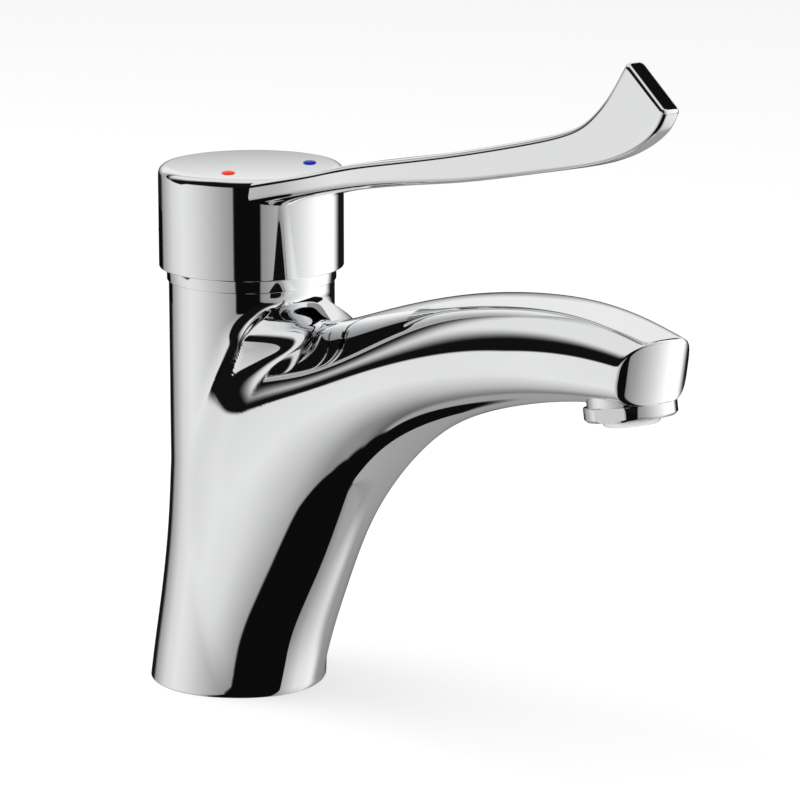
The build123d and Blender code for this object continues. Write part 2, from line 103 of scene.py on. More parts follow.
def finishMesh(mesh, sharp):
    # doubles merged, normals turned outwards, smooth shading with crisp edges past the angle
    work = bmesh.new()
    work.from_mesh(mesh)
    bmesh.ops.remove_doubles(work, verts=work.verts, dist=mergeGap / perMetre)
    bmesh.ops.dissolve_degenerate(work, edges=work.edges, dist=leastEdge)
    bmesh.ops.recalc_face_normals(work, faces=work.faces)
    work.to_mesh(mesh)
    work.free()
    mesh.polygons.foreach_set("use_smooth", [True] * len(mesh.polygons))
    mesh.set_sharp_from_angle(angle=radians(sharp))
    mesh.update()


def lathe(profile, segments=192, place=None):
    # a profile of (radius, height) carried round the axis: (r cos a, r sin a, z); a radius of 0
    # closes into a pole, and place moves the points where the axis isn't the cartridge's
    profile = np.asarray(profile, float)
    turn = np.linspace(0, 2 * np.pi, segments, endpoint=False)
    points = np.stack([profile[:, :1] * np.cos(turn), profile[:, :1] * np.sin(turn),
                       np.repeat(profile[:, 1:], segments, axis=1)], -1)
    if place is not None:
        points = place(points)
    return points, [gridFaces(len(profile), segments, True)]


def roundedProfile(corners, steps=6):
    # corners of (radius, height, rounding): each corner becomes a quadratic Bezier that starts
    # and ends its rounding away from the corner, (1-t)^2 P0 + 2 t (1-t) P1 + t^2 P2
    corners = np.asarray(corners, float)
    line = [corners[:1, :2]]
    t = np.linspace(0, 1, steps)[:, None]
    for before, corner, after in zip(corners[:-2], corners[1:-1], corners[2:]):
        spot, reach = corner[:2], corner[2]
        if reach == 0:
            line.append(spot[None])
            continue
        back, ahead = before[:2] - spot, after[:2] - spot
        start = spot + back / np.linalg.norm(back) * reach
        end = spot + ahead / np.linalg.norm(ahead) * reach
        line.append((1 - t) ** 2 * start + 2 * t * (1 - t) * spot + t ** 2 * end)
    line.append(corners[-1:, :2])
    return np.vstack(line)


def cutAway(piece, patches, sharp):
    # takes the closed bodies of the patches out of the piece with one Boolean, whose result becomes
    # the piece's own mesh
    tool = makePiece("cutter", patches)
    cut = piece.modifiers.new("cut", "BOOLEAN")
    cut.operation, cut.solver, cut.object = "DIFFERENCE", "EXACT", tool
    bpy.context.view_layer.update()
    solid = piece.evaluated_get(bpy.context.evaluated_depsgraph_get())
    mesh = bpy.data.meshes.new_from_object(solid)
    piece.modifiers.remove(cut)
    piece.data = mesh
    bpy.data.objects.remove(tool)
    mesh.set_sharp_from_angle(angle=radians(sharp))


# the casting: foot, column, arched spout and nose in one skin

casting = {
    "neckRadius": 21.2, "neckTop": 107.0, "footRadius": 23.0,
    "spoutReach": 140.0, "spoutHeight": 121.6,
    "noseRadius": 17.0, "noseOverhang": 20.0, "noseLean": 10.0, "footEdge": 0.5,
    # the nose's rounded edge: its size, the share of it that the lower edge has, and where it grows
    "noseEdge": 1.0, "noseEdgeLow": 0.55, "noseEdgeGrowth": (0.72, 0.95),
    "columnSteps": 120, "topSteps": 120, "frontSteps": 170, "spoutSteps": 100, "roundSteps": 86,
    "rimSteps": 6, "faceSteps": 15, "footSteps": 4, "sharp": 28,
    # blends between column and sweep, in square millimetres, and the heights where each grows and
    # fades; saddleSpan is the squared half width at which the saddle's own blend is down to a half
    "sideBlend": 240.0, "sideLeast": 0.2, "sideGrowth": (5, 60),
    "saddleBlend": 700.0, "saddleGrowth": (66, 92), "saddleFade": 95, "saddleSpan": 120,
    "neckBlend": 260.0, "neckGrowth": (60, 84), "neckFade": 94, "neckAhead": (4, 24),
    # behind the axis hardly any blend is left: its share there, and the x over which it grows
    "backLeast": 0.04, "backGrowth": (-5, 17),
    # X is a share of neckRadius from the axis, Z a share of neckTop
    "arch": [(0.779, 0.000), (0.991, 0.114), (1.288, 0.227), (1.585, 0.330), (1.955, 0.449),
             (2.009, 0.574), (1.939, 0.691), (1.505, 0.751), (1.377, 0.771), (1.278, 0.795),
             (1.396, 0.811), (2.420, 0.825)],
    "crest": [(-1.057, 0.000), (-0.991, 0.170), (-0.940, 0.345), (-0.900, 0.530), (-0.780, 0.735),
              (-0.450, 0.870), (0.200, 0.916), (0.250, 0.967), (0.453, 0.993), (0.651, 1.006),
              (1.066, 0.995), (2.519, 0.937)],
    "along": [0, 0, 0, 0, 0, 0.08, 0.22, 0.45, 0.65, 0.85, 1, 1],
    "rise": [0, 0, 0, 0, 0, 0, 0.1, 0.35, 0.7, 0.9, 1, 1],
    "width": [0.90, 0.94, 0.96, 0.97, 0.97, 0.955, 0.90, 0.82, 0.745, 0.675, 0.555, 0.41],
    "square": [2.0, 2.0, 2.0, 2.0, 2.05, 2.1, 2.15, 2.2, 2.25, 2.3, 2.3, 2.3],
    "squareLow": [2.0, 2.0, 2.0, 2.0, 2.05, 2.1, 2.15, 2.25, 2.5, 2.9, 3.4, 3.6],
    # width is a share of neckRadius; square is the exponent n of |y|^n + |t|^n above the middle, and
    # squareLow below it, with squareTurn between them
    "squareTurn": 0.15,
    # how much of its width the sweep's upper half loses towards the crest, from eggFrom upwards
    "egg": [0, 0, 0, 0, 0.08, 0.28, 0.38, 0.24, 0.07, 0, 0, 0], "eggFrom": 0.05,
    # lines across the middle plane: arch station, inner x and z, outer x and z
    "across": [(0.00, -7.0, 0.0, -30.3, 0.0), (1.00, -4.0, 12.5, -28.9, 13.0),
               (2.00, 0.0, 25.0, -26.6, 26.0), (3.00, 4.0, 39.0, -24.0, 42.0),
               (3.90, 8.0, 56.0, -21.6, 60.0), (4.35, 8.0, 74.0, -21.2, 82.0),
               (4.60, 2.0, 92.0, -21.2, 107.0), (4.75, 5.0, 93.0, 0.0, 107.0),
               (4.90, 10.0, 95.0, 21.2, 107.0), (5.10, 13.0, 94.0, 21.6, 103.0),
               (5.40, 20.0, 88.0, 25.0, 99.5), (5.80, 32.0, 86.0, 31.0, 99.0),
               (6.30, 52.0, 90.0, 42.0, 103.0), (7.00, 72.1, 97.05, 58.8, 108.6)],
    # the first and the last of those lines that end on the neck's flat top
    "topLines": (6, 8),
    # shares of a line that are surely inside and surely outside the casting, towards arch and crest
    "archSearch": (0.3, -0.12), "crestSearch": (0.7, 1.15),
    # the cartridge's chamber: radius and height
    "chamber": [(0, 77.0), (17.65, 77.0), (17.65, 98.95), (19.28, 98.95), (19.28, 108.0), (0, 108.0)],
    # holes in the foot: x and y from its middle, radius and depth; groove: two radii and depth
    "holes": [(-11.0, 0, 3.4, 18.0), (5.0, -8.5, 4.55, 14.0), (5.0, 8.5, 4.55, 14.0)],
    "groove": (18.5, 21.15, 2.0), "overrun": 1.0,
    # height share, share of the setback, share of the foot's spread
    "column": [(0.000, 1.000, 1.000), (0.100, 0.800, 0.720), (0.240, 0.450, 0.400),
               (0.400, 0.150, 0.130), (0.560, 0.000, 0.000)],
}


def sweepLines(count=2401):
    # arch and crest of the sweep with its half width, exponents and egg, as dense rows over 0 to 1
    c = casting
    s = np.linspace(0, 1, count)
    offset = np.stack([np.array(c["along"]) * (c["spoutReach"] - c["neckRadius"]),
                       np.array(c["rise"]) * (c["spoutHeight"] - c["neckTop"])], -1)
    scale = np.array([c["neckRadius"], c["neckTop"]])
    arch = smoothLine(np.array(c["arch"]) * scale + offset, s)
    crest = smoothLine(np.array(c["crest"]) * scale + offset, s)
    shape = np.stack([smoothLine(c[name], s) for name in ("width", "square", "squareLow", "egg")])
    return s, arch, crest, shape


def columnLines(count=1201):
    # the column's middle and radius over its height
    c = casting
    at = np.linspace(0, 1, count)
    rows = smoothLine(c["column"], at)
    return rows[:, 0] * c["neckTop"], -rows[:, 1] * axisSetback, \
        c["neckRadius"] + rows[:, 2] * (c["footRadius"] - c["neckRadius"])


sweep = sweepLines()
column = columnLines()
sweepSpans = len(casting["arch"]) - 1
placeHalvings, edgeHalvings = 30, 40


def sweepWidth(s, t):
    # w(s) (1 - e(s) step(t)) (1 - |t|^n)^(1/n), with one n above the middle and one below it;
    # beyond the sweep the same is taken below nought
    c = casting
    width, upper, lower, egg = (np.interp(s, sweep[0], row) for row in sweep[3])
    square = lower + (upper - lower) * smoothStep(t, -c["squareTurn"], c["squareTurn"])
    inner = 1 - np.abs(t) ** square
    drawn = width * c["neckRadius"] * (1 - np.maximum(egg, 0) * smoothStep(t, c["eggFrom"], 1))
    return drawn * np.sign(inner) * np.abs(inner) ** (1 / square)


def sweepPlace(x, z):
    # the s whose line from arch(s) to crest(s) runs through (x, z), found by halving, and how far
    # along that line the point is, from -1 at the arch to 1 at the crest
    s, arch, crest = sweep[:3]
    low, high = np.zeros_like(x), np.ones_like(x)
    for halving in range(placeHalvings):
        middle = (low + high) / 2
        ax, az = np.interp(middle, s, arch[:, 0]), np.interp(middle, s, arch[:, 1])
        bx, bz = np.interp(middle, s, crest[:, 0]), np.interp(middle, s, crest[:, 1])
        beyond = (x - ax) * (bz - az) - (z - az) * (bx - ax) > 0
        low, high = np.where(beyond, middle, low), np.where(beyond, high, middle)
    length = (bx - ax) ** 2 + (bz - az) ** 2
    return middle, 2 * ((x - ax) * (bx - ax) + (z - az) * (bz - az)) / length - 1


def halfWidthSquared(x, z):
    # column: r(z)^2 - (x - m(z))^2.  Sweep: its width squared.  The larger of the two, with
    # k/4 (1 - |difference| / k)^2 added where they are within k, which rounds the saddle
    c = casting
    middle, radius = np.interp(z, column[0], column[1]), np.interp(z, column[0], column[2])
    round_ = radius ** 2 - (x - middle) ** 2
    swept = sweepWidth(*sweepPlace(x, z))
    swept = swept * np.abs(swept)
    largest = np.maximum(round_, swept)
    nearMiddle = 1 / (1 + (np.maximum(largest, 0) / c["saddleSpan"]) ** 2)
    saddle = smoothStep(z, *c["saddleGrowth"]) * smoothStep(-z, -c["neckTop"], -c["saddleFade"])
    neck = smoothStep(z, *c["neckGrowth"]) * smoothStep(-z, -c["neckTop"], -c["neckFade"])
    side = c["sideLeast"] + (1 - c["sideLeast"]) * smoothStep(z, *c["sideGrowth"])
    ahead = c["backLeast"] + (1 - c["backLeast"]) * smoothStep(x, *c["backGrowth"])
    k = c["sideBlend"] * side + c["saddleBlend"] * saddle * nearMiddle
    k = (k + c["neckBlend"] * neck * smoothStep(x, *c["neckAhead"])) * ahead
    near = np.maximum(k - np.abs(round_ - swept), 0) / k
    return largest + near ** 2 * k / 4


def noseX(y, z):
    # the bowed front, a cylinder of radius R that leans out by the angle a:
    # x = middle + (sqrt(R^2 - y^2) + (z - spoutHeight) sin a) / cos a
    c = casting
    lean = radians(c["noseLean"])
    middle = c["spoutReach"] + c["noseOverhang"] - c["noseRadius"]
    bow = np.sqrt(np.maximum(c["noseRadius"] ** 2 - y ** 2, 0))
    return middle + (bow + (z - c["spoutHeight"]) * sin(lean)) / cos(lean)


def bezier(a, b, c, t):
    # (1-t)^2 a + 2 t (1-t) b + t^2 c
    return (1 - t) ** 2 * a + 2 * t * (1 - t) * b + t ** 2 * c


def castingLines():
    # lines across the middle plane, from the arch by way of an inner point to the outer outline:
    # up the back, over the neck's top, down its front and along the crest; each is a Bezier curve
    c = casting
    stations = np.array(c["across"])
    topFrom, topTo = c["topLines"]
    last = len(stations) - 1
    at = np.concatenate([np.linspace(0, topFrom, c["columnSteps"], endpoint=False),
                         np.linspace(topFrom, topTo, c["topSteps"], endpoint=False),
                         np.linspace(topTo, last, c["frontSteps"])])
    rows = np.stack([np.interp(at, np.arange(len(stations)), stations[:, k]) for k in range(5)], -1)
    onTop = (at >= topFrom) & (at <= topTo)
    rows[onTop, 3] = -c["neckRadius"] * np.cos((at[onTop] - topFrom) * np.pi / 2)
    s = rows[:, 0] / sweepSpans
    start = np.stack([np.interp(s, sweep[0], sweep[1][:, k]) for k in (0, 1)], -1)
    inner, outer = rows[:, 1:3], rows[:, 3:5]
    inner[-1] = (start[-1] + outer[-1]) / 2
    return start, inner, outer, onTop


def crossing(start, inner, outer, inside, outside):
    # where each line leaves the casting, by halving between a share inside and one outside
    low, high = np.full(len(start), inside), np.full(len(start), outside)
    for halving in range(edgeHalvings):
        middle = (low + high) / 2
        spot = bezier(start, inner, outer, middle[:, None])
        filled = halfWidthSquared(spot[:, 0], spot[:, 1]) > 0
        low, high = np.where(filled, middle, low), np.where(filled, high, middle)
    return (low + high) / 2


def spoutPoint(s, v):
    # the sweep alone: v runs from 0 at the arch to 1 at the crest, t = -cos(pi v)
    t = -np.cos(np.pi * v)
    ax, az = np.interp(s, sweep[0], sweep[1][:, 0]), np.interp(s, sweep[0], sweep[1][:, 1])
    bx, bz = np.interp(s, sweep[0], sweep[2][:, 0]), np.interp(s, sweep[0], sweep[2][:, 1])
    q = (t + 1) / 2
    return np.stack([ax + q * (bx - ax), np.maximum(sweepWidth(s, t), 0), az + q * (bz - az)], -1)


def columnRows(v):
    # the rows from the foot up the back, over the neck's top and down to where the spout begins:
    # along each line the share is first + (last - first) (1 - cos(pi v)) / 2, y is the half width
    c = casting
    start, inner, outer, onTop = castingLines()
    first = crossing(start, inner, outer, *c["archSearch"])
    last = np.where(onTop, 1.0, crossing(start, inner, outer, *c["crestSearch"]))
    q = first[:, None] + (last - first)[:, None] * (1 - np.cos(np.pi * v)) / 2
    spot = bezier(start[:, None], inner[:, None], outer[:, None], q[..., None])
    y = np.sqrt(np.maximum(halfWidthSquared(spot[..., 0], spot[..., 1]), 0))
    y[:, 0] = 0
    y[~onTop, -1] = 0
    rim = np.sqrt(np.maximum(c["neckRadius"] ** 2 - outer[:, 0] ** 2, 0))
    y[onTop, -1] = rim[onTop]
    skin = np.stack([spot[..., 0], y, spot[..., 1]], -1)
    skin[onTop, -1, 2] = c["neckTop"]
    return skin, onTop


def spoutRows(v):
    # the spout's own rows, which end on the bowed front, then its rounded edge and the front itself
    c = casting
    begin = c["across"][-1][0] / sweepSpans
    low, high = np.full(len(v), begin), np.ones(len(v))
    for halving in range(edgeHalvings):
        middle = (low + high) / 2
        point = spoutPoint(middle, v)
        behind = point[:, 0] < noseX(point[:, 1], point[:, 2])
        low, high = np.where(behind, middle, low), np.where(behind, high, middle)
    edge = spoutPoint(low, v)
    little = 0.001
    pace = np.linalg.norm(spoutPoint(low, v) - spoutPoint(low - little, v), axis=-1) / little
    growth = smoothStep(v, *c["noseEdgeGrowth"])
    rounding = c["noseEdge"] * (c["noseEdgeLow"] + (1 - c["noseEdgeLow"]) * growth)
    near = low - rounding / pace
    rows = [spoutPoint(begin + (near - begin) * step, v)
            for step in np.linspace(0, 1, c["spoutSteps"])[1:]]
    middleZ = (edge[0, 2] + edge[-1, 2]) / 2

    def onFace(share):
        # edge points drawn in towards the front's middle, and put back on its bow
        y, z = edge[:, 1] * share, middleZ + (edge[:, 2] - middleZ) * share
        return np.stack([noseX(y, z), y, z], -1)

    inset = 1 - rounding / np.hypot(edge[:, 1], edge[:, 2] - middleZ)
    rim = [bezier(rows[-1], edge, onFace(inset), t) for t in np.linspace(0, 1, c["rimSteps"] + 1)[1:]]
    face = [onFace(inset * share) for share in np.linspace(1, 0, c["faceSteps"] + 1)[1:]]
    return np.array(rows + rim + face)


def footRows(bottom):
    # the foot's lower edge, rounded inwards from the first row of the column
    c = casting
    away = bottom - np.array([-axisSetback, 0, 0])
    away = away / np.linalg.norm(away, axis=-1, keepdims=True)
    rows = []
    for t in np.linspace(0, 1, c["footSteps"] + 1)[:-1]:
        row = bottom - away * (c["footEdge"] * (1 - t) ** 2)
        row[:, 2] = c["footEdge"] * t ** 2
        rows.append(row)
    return np.array(rows)


def castingSide():
    # rows of points on one side, from the foot to the nose, and which of them end on the neck's top
    c = casting
    v = np.linspace(0, 1, c["roundSteps"] + 1)
    skin, onTop = columnRows(v)
    foot = footRows(skin[0])
    aboveEdge = 0.3
    kept = (skin[:, 0, 2] > c["footEdge"] + aboveEdge) | onTop
    return np.concatenate([foot, skin[kept], spoutRows(v)]), len(foot) + np.flatnonzero(onTop[kept])


def buildCasting():
    c = casting
    side, topRows = castingSide()
    rows, columns = side.shape[:2]
    mirrored = side * [1, -1, 1]
    top = np.stack([side[topRows, -1], mirrored[topRows, -1]], 1)
    foot = np.stack([side[0], mirrored[0]], 1)
    piece = makePiece("castingSkin", [
        (side, [gridFaces(rows, columns, False)]),
        (mirrored, [gridFaces(rows, columns, False, flip=True)]),
        (top, [gridFaces(len(top), 2, False)]),
        (foot, [gridFaces(columns, 2, False)]),
    ], c["sharp"])
    # the cartridge's chamber, the threaded holes in the foot and the groove for its seal
    below = -c["overrun"]
    hollows = [lathe(np.array(c["chamber"]), 128)]
    for x, y, radius, depth in c["holes"]:
        hole = np.array([(0, below), (radius, below), (radius, depth), (0, depth)])
        hollows.append(lathe(hole, 64, lambda points, x=x, y=y: points + [x - axisSetback, y, 0]))
    near, far, depth = c["groove"]
    groove = np.array([(near, below), (far, below), (far, depth), (near, depth), (near, below)])
    hollows.append(lathe(groove, 128, lambda points: points - [axisSetback, 0, 0]))
    cutAway(piece, hollows, c["sharp"])
    print("casting", len(piece.data.polygons), "faces")
    return piece


# the chromed ring on the neck

ring = {"outer": 21.65, "bottom": 107.0, "pivot": 105.2, "dome": 22.2, "mouth": 14.8, "wall": 1.5,
        "bore": 19.8, "edge": 0.25, "arcSteps": 24, "segments": 256}


def ballArc(radius, middle, start, end, steps):
    # (radius, height) along a ball's side about a middle on the axis, between two angles from its top
    turn = np.linspace(start, end, steps)
    return np.stack([radius * np.sin(turn), middle + radius * np.cos(turn)], -1)


def buildRing():
    # straight side, then a part of a ball about the lift's pivot, and the same ball less its wall
    r = ring
    shoulder = r["pivot"] + sqrt(r["dome"] ** 2 - r["outer"] ** 2)
    under = r["dome"] - r["wall"]
    ball = ballArc(r["dome"], r["pivot"], np.arcsin(r["outer"] / r["dome"]),
                   np.arcsin(r["mouth"] / r["dome"]), r["arcSteps"])
    hollow = ballArc(under, r["pivot"], np.arcsin(r["mouth"] / under), np.arcsin(r["bore"] / under),
                     r["arcSteps"])
    side = roundedProfile([(r["bore"], r["bottom"], 0), (r["outer"], r["bottom"], r["edge"]),
                           (r["outer"], shoulder, 0)])
    profile = np.vstack([side, ball[1:], hollow, side[:1]])
    return makePiece("ringSkin", [lathe(profile, r["segments"])])


# the handle: round cap and long lever

handle = {
    "capRadius": 23.6, "rim": 110.4, "top": 136.4, "edge": 2.6, "rimEdge": 0.4,
    "pivot": 105.2, "cavity": 22.8, "coverHeight": 130.65, "coverHole": 2.66, "coverDepth": 3.0,
    # the lever: X of belly and ridge is a share of reach from the axis, Z a share of rise over the cap
    "reach": 159.4, "rise": 42.6, "thickness": 5.2, "armEdge": 1.3, "endEdge": 0.7,
    "belly": [(0.070, -0.230), (0.128, -0.180), (0.178, -0.115), (0.240, -0.050), (0.303, 0.005),
              (0.420, 0.090), (0.556, 0.176), (0.717, 0.307), (0.842, 0.411), (0.923, 0.516),
              (0.982, 0.653), (1.001, 0.775)],
    "ridge": [(0.065, -0.070), (0.122, -0.018), (0.172, 0.030), (0.227, 0.085), (0.290, 0.150),
              (0.408, 0.240), (0.545, 0.347), (0.700, 0.485), (0.800, 0.590), (0.845, 0.690),
              (0.882, 0.818), (0.919, 1.010)],
    "arm": [7.2, 5.3, 3.45, 2.3, 1.75, 1.4, 1.2, 1.08, 1.04, 1.0, 1.0, 1.0],
    "underside": [0.60, 0.60, 0.60, 0.62, 0.64, 0.62, 0.56, 0.50, 0.48, 0.48, 0.48, 0.48],
    # arm is the width as a share of thickness, underside the share of the half width that the belly's
    # quarter ellipse is wide, and bellyMost the share of the height that it is deep at most
    "bellyMost": 0.6,
    "lengthSteps": 260, "cornerSteps": 9, "faceSteps": 14, "endSteps": 8, "arcSteps": 24,
}


def armSection(half, height, upper, lower, corner, face):
    # a closed outline about the middle plane: straight sides, a quarter turn of radius upper at the
    # ridge and a quarter ellipse lower wide at the belly; p is up, y across
    turn = np.linspace(0, np.pi / 2, corner)
    up = height / 2
    rise = np.linspace(0, 1, face + 1)[1:-1]
    depth = min(lower, (height - upper) * handle["bellyMost"])
    lowY = half - lower + lower * np.sin(turn)
    lowP = -up + depth * (1 - np.cos(turn))
    highY = half - upper + upper * np.cos(turn)
    highP = up - upper + upper * np.sin(turn)
    sideP = -up + depth + rise * (height - depth - upper)
    y = np.concatenate([lowY, np.full(len(rise), half), highY])
    p = np.concatenate([lowP, sideP, highP])
    return np.concatenate([y, -y[::-1]]), np.concatenate([p, p[::-1]])


def capProfile():
    # straight side with rounded edges, flat top, and the ball-shaped hollow under it
    h = handle
    mouth = sqrt(h["cavity"] ** 2 - (h["rim"] - h["pivot"]) ** 2)
    side = roundedProfile([(mouth, h["rim"], 0), (h["capRadius"], h["rim"], h["rimEdge"]),
                           (h["capRadius"], h["top"], h["edge"]), (0, h["top"], 0)], 9)
    hollow = ballArc(h["cavity"], h["pivot"], 0, np.arcsin(mouth / h["cavity"]), h["arcSteps"])
    return np.vstack([side, hollow])


def leverRows():
    # sections between belly and ridge, carried from inside the cap to the upturned end
    h = handle
    s = np.linspace(0, 1, h["lengthSteps"])
    belly, ridge = (smoothLine(np.array(h[name]) * [h["reach"], h["rise"]] + [0, h["top"]], s)
                    for name in ("belly", "ridge"))
    half = smoothLine(h["arm"], s) * h["thickness"] / 2
    share = smoothLine(h["underside"], s)
    middle, line = (belly + ridge) / 2, ridge - belly
    height = np.linalg.norm(line, axis=-1)
    line = line / height[:, None]
    rows = []
    for place in range(len(s)):
        y, p = armSection(half[place], height[place], h["armEdge"], half[place] * share[place],
                          h["cornerSteps"], h["faceSteps"])
        rows.append(np.stack([middle[place, 0] + p * line[place, 0], y,
                              middle[place, 1] + p * line[place, 1]], -1))
    # the end takes the place of the last rows: it is drawn in by a quarter turn, which rounds its
    # edges, and closes on its middle line, as the root does
    up, out = np.array([line[-1, 0], 0, line[-1, 1]]), np.array([line[-1, 1], 0, -line[-1, 0]])
    last = rows[-1]
    centre = last.mean(axis=0)
    edge = h["armEdge"] * h["endEdge"]
    tip = []
    for turn in np.linspace(0, np.pi / 2, h["endSteps"]):
        inset = edge * (1 - cos(turn))
        drawn = last - out * edge * (1 - sin(turn))
        y = drawn[:, 1] * (1 - inset / half[-1])
        pull = (drawn - centre) @ up * (inset / (height[-1] / 2))
        drawn = drawn - pull[:, None] * up
        drawn[:, 1] = y
        tip.append(drawn)
    flat = np.array([1, 0, 1])
    return np.array([rows[0] * flat] + rows[:-3] + tip + [tip[-1] * flat])


def buildHandle():
    h = handle
    arm = leverRows()
    piece = makePiece("handleSkin", [lathe(capProfile(), 288),
                                     (arm, [gridFaces(len(arm), arm.shape[1], True)])])
    # the hole at the back that the screw's cover closes, with a fine seam round it
    back, height, radius, depth = -h["capRadius"], h["coverHeight"], h["coverHole"], h["coverDepth"]
    plug = np.array([(0, -1.0), (radius, -1.0), (radius, depth), (0, depth)])
    cutAway(piece, [lathe(plug, 48, lambda points: points[..., [2, 0, 1]] + [back, 0, height])], 35)
    print("handle", len(piece.data.polygons), "faces")
    return piece


# the two studs on the cap

studs = {"radius": 1.7, "proud": 0.6, "circle": 15.0, "angle": 58.0, "depth": 1.6, "fullness": 0.8}


def buildStud(name, side):
    # a low dome on a short stem: radius R sin(a)^fullness, height proud * cos(a), closed at the top
    m = studs
    x, y = m["circle"] * cos(radians(m["angle"])), side * m["circle"] * sin(radians(m["angle"]))
    turn = np.linspace(np.pi / 2, 0, 10)
    dome = np.stack([m["radius"] * np.sin(turn) ** m["fullness"],
                     handle["top"] + m["proud"] * np.cos(turn)], -1)
    dome[-1, 0] = 0
    stem = np.array([(0, handle["top"] - m["depth"]), (m["radius"], handle["top"] - m["depth"])])
    return makePiece(name, [lathe(np.vstack([stem, dome]), 64, lambda points: points + [x, y, 0])])


# the aerator under the nose

aerator = {
    "setback": 13.4, "lean": 10.0, "radius": 10.8, "drop": 3.4, "flats": 20.0, "turned": 20.0,
    "edge": 0.7, "rounding": 0.15, "bevel": 0.5, "collar": 9.9, "collarHeight": 2.4, "play": 0.3,
    # the outlet: its radius and drop, its lower edge, and how far in and up its dished mouth starts
    "outlet": 6.8, "outletDrop": 1.6, "outletEdge": 1.5, "lip": 1.9, "dishFoot": 2.1, "dishDepth": 0.5,
    "segments": 288,
}


def aeratorPlace():
    # on the line between the two arch stations beside it, tilted by its lean
    c, a = casting, aerator
    reach = c["spoutReach"] + c["noseOverhang"] - a["setback"]
    ahead, rise = c["spoutReach"] - c["neckRadius"], c["spoutHeight"] - c["neckTop"]
    (x0, z0), (x1, z1) = ((c["arch"][number][0] * c["neckRadius"] + c["along"][number] * ahead,
                           c["arch"][number][1] * c["neckTop"] + c["rise"][number] * rise)
                          for number in (-3, -2))
    height = z0 + (z1 - z0) / (x1 - x0) * (reach - x0) - a["play"]
    lean = radians(-a["lean"])

    def place(points):
        x, y, z = points[..., 0], points[..., 1], points[..., 2]
        return np.stack([reach + x * cos(lean) + z * sin(lean), y,
                         height - x * sin(lean) + z * cos(lean)], -1)
    return place


def buildAerator():
    a = aerator
    place = aeratorPlace()
    # the ring: radius r(angle) = min(radius, half the flats / |sin(angle)|), lower edge bevelled
    turn = np.linspace(0, 2 * np.pi, a["segments"], endpoint=False)
    bore, rounding = a["outlet"] + a["play"], a["rounding"]
    profile = roundedProfile([
        (bore, a["collarHeight"], 0), (a["collar"], a["collarHeight"], 0), (a["collar"], 0, 0),
        (a["radius"], 0, rounding), (a["radius"], -a["drop"] + a["edge"], rounding),
        (a["radius"] - a["edge"], -a["drop"], rounding), (bore + a["bevel"], -a["drop"], rounding),
        (bore, -a["drop"] + a["bevel"], 0), (bore, a["collarHeight"], 0)], 4)
    limit = a["flats"] / 2 / np.maximum(np.abs(np.sin(turn - radians(a["turned"]))), 1e-6)
    radius = np.minimum(profile[:, :1], limit[None])
    points = np.stack([radius * np.cos(turn), radius * np.sin(turn),
                       np.repeat(profile[:, 1:], len(turn), axis=1)], -1)
    housing = makePiece("aeratorRing", [(place(points), [gridFaces(len(profile), len(turn), True)])], 30)
    # the outlet: a short barrel with a rounded lower edge, and a shallow dished mouth
    low = -a["drop"] - a["outletDrop"]
    outline = roundedProfile([
        (0, a["play"], 0), (a["outlet"], a["play"], 0.1), (a["outlet"], low, a["outletEdge"]),
        (a["outlet"] - a["lip"], low, 0.2), (a["outlet"] - a["dishFoot"], low + a["dishDepth"], 0),
        (0, low + a["dishDepth"], 0)], 7)
    insert = makePiece("aeratorOutlet", [lathe(outline, 128, place)], 40)
    return housing, insert


# finishes

def wearGroup():
    # fine variation: a slow cloud and a fine grain, both 0 to 1, on the object's own coordinates
    group = bpy.data.node_groups.new("surfaceWear", "ShaderNodeTree")
    nodes, links = group.nodes, group.links
    layers = {"Cloud": 3.0, "Grain": 5.0}    # the detail of each
    for output in layers:
        group.interface.new_socket(output + " Scale", in_out="INPUT", socket_type="NodeSocketFloat")
        group.interface.new_socket(output, in_out="OUTPUT", socket_type="NodeSocketFloat")
    entry, leave = nodes.new("NodeGroupInput"), nodes.new("NodeGroupOutput")
    place = nodes.new("ShaderNodeTexCoord")
    for output, detail in layers.items():
        noise = nodes.new("ShaderNodeTexNoise")
        noise.inputs["Detail"].default_value = detail
        noise.inputs["Roughness"].default_value = 0.55
        links.new(place.outputs["Object"], noise.inputs["Vector"])
        links.new(entry.outputs[output + " Scale"], noise.inputs["Scale"])
        links.new(noise.outputs["Fac"], leave.inputs[output])
    return group


wear = wearGroup()


